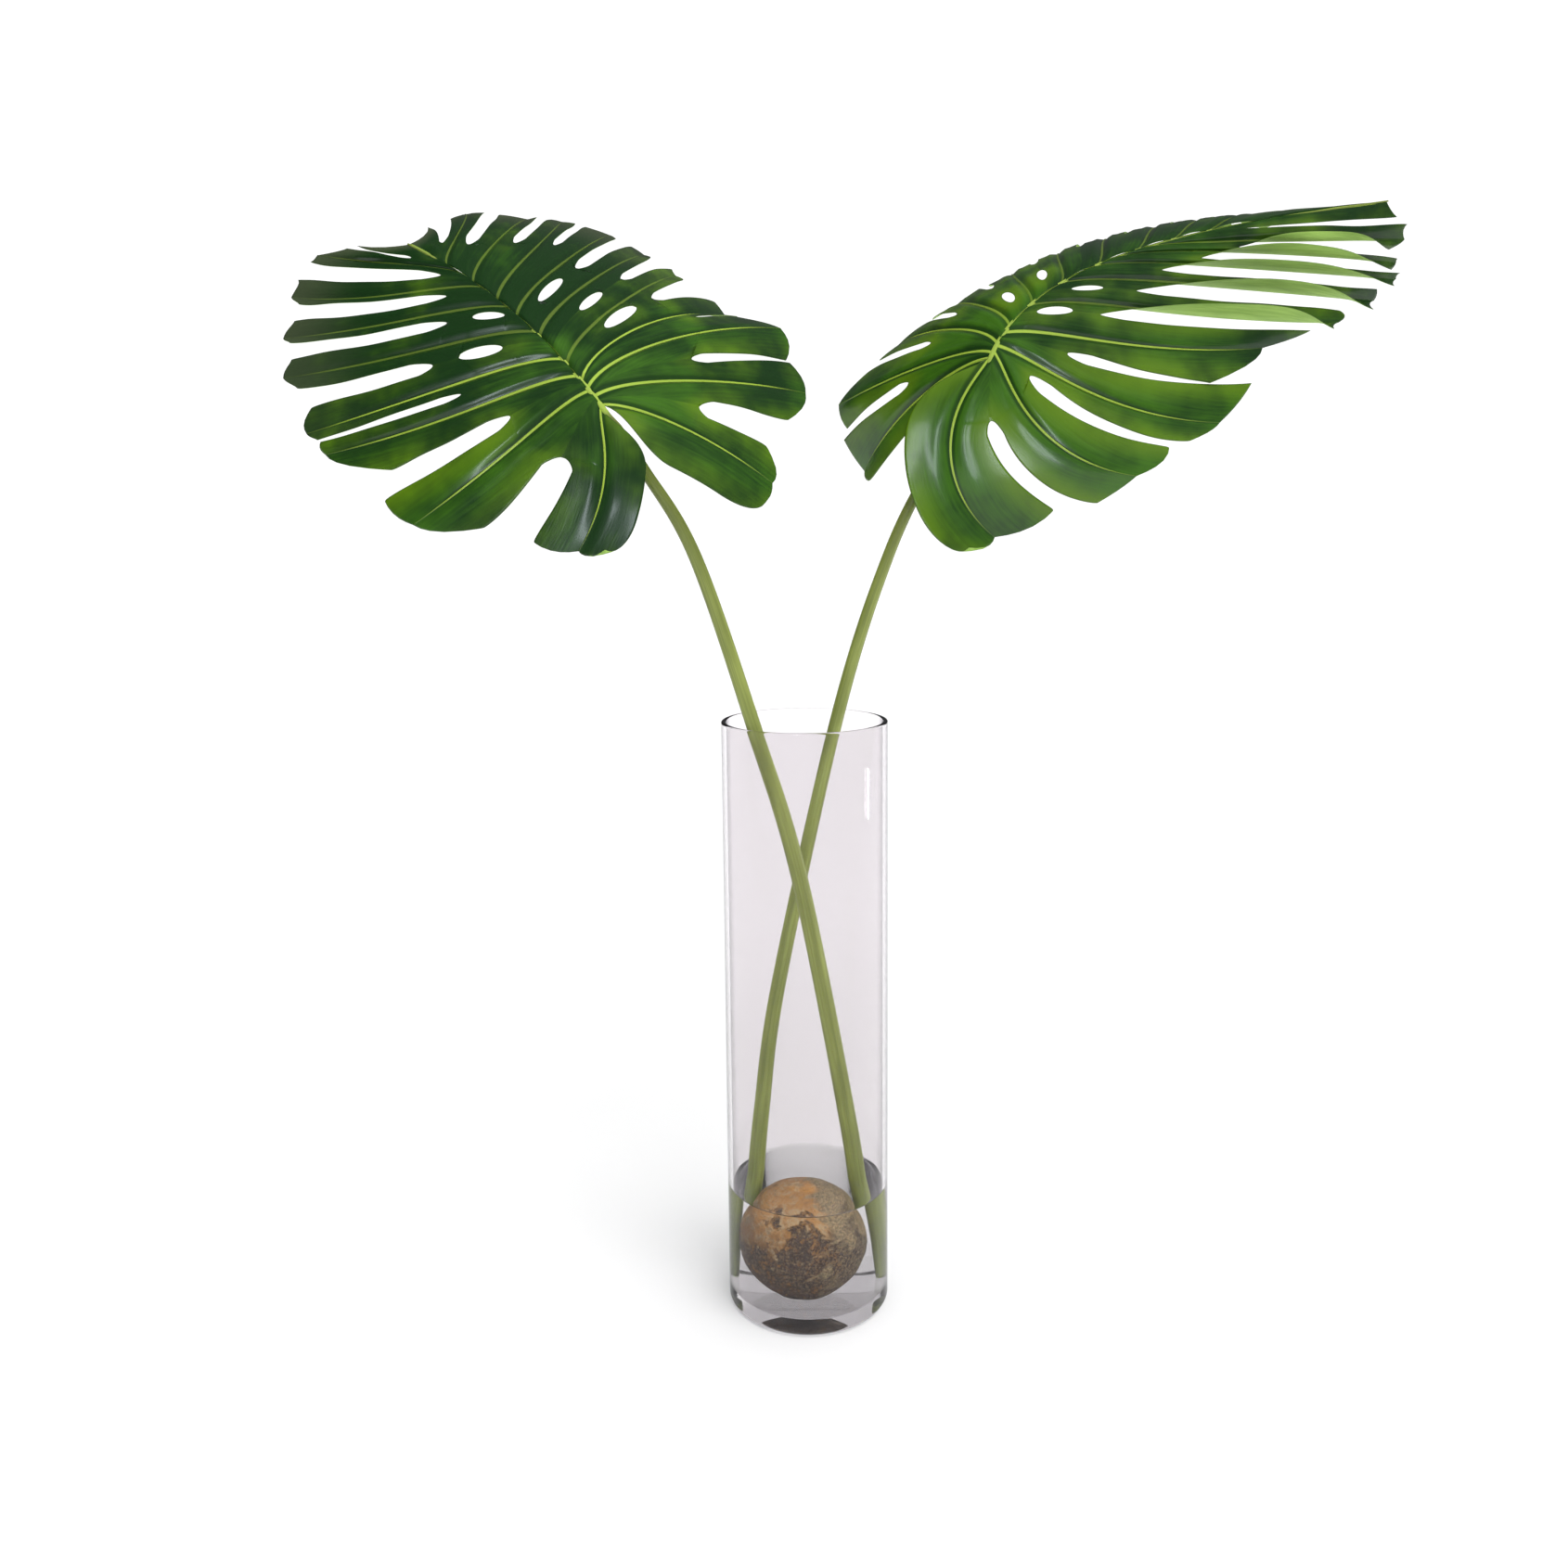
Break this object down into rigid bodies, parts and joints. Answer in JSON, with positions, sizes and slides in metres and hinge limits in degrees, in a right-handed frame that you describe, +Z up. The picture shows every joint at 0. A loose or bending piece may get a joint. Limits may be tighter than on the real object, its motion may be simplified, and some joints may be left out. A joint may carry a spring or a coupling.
{
  "type": "monstera leaf arrangement",
  "caption": "Monstera leaves on long crossing petioles in a tall clear glass cylinder vase with shallow water and a round river stone.",
  "frame": {"origin": "middle of the vase's flat underside", "axes": "+Z up along the vase's axis, +X to the viewer's right, +Y away from the viewer"},
  "size_m": [1.0551, 0.3422, 1.0274],
  "materials": {
    "clear_glass": "gloss",
    "clear_water": "gloss",
    "river_stone": "matte",
    "leaf_green": "satin"
  },
  "bodies": {
    "root": {"vase": "clear_glass", "water": "clear_water", "stone": "river_stone", "leaf_left": "leaf_green", "leaf_right": "leaf_green"}
  },
  "joints": []
}
